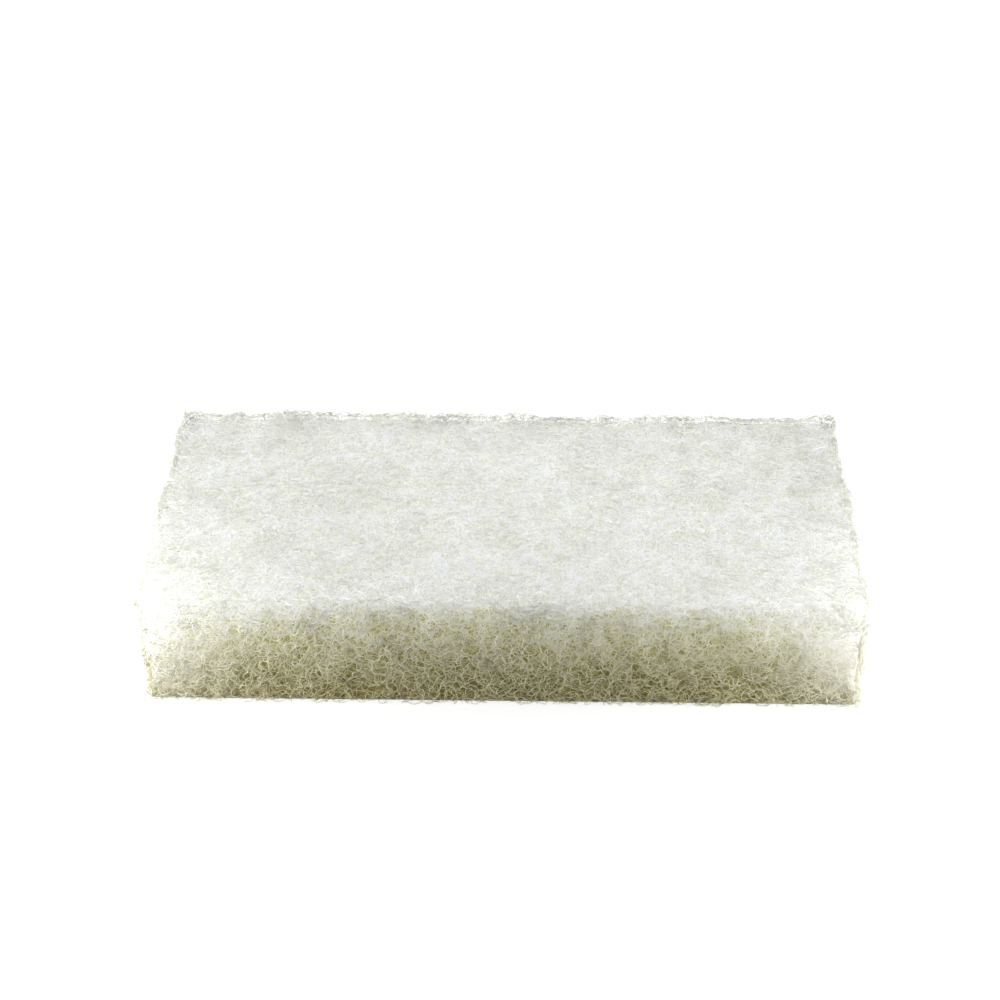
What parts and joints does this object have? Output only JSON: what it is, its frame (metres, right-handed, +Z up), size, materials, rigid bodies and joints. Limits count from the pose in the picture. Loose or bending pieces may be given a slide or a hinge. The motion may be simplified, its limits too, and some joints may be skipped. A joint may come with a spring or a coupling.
{
  "type": "scouring pad",
  "caption": "Thick rectangular hand scouring pad: a block of lofty white non-woven fibre web with soft cut edges, for wiping and light scrubbing.",
  "frame": {"origin": "centre of the underside, the broad face that the pad lies on", "axes": "+X along the pad's length, +Y across its width, +Z up through its thickness"},
  "size_m": [0.15, 0.07, 0.028],
  "materials": {
    "fibre_web": "matt, open web of crimped white fibre with a yellow-green tint in its depth"
  },
  "bodies": {
    "root": {"scouring_pad": "fibre_web"}
  },
  "joints": []
}
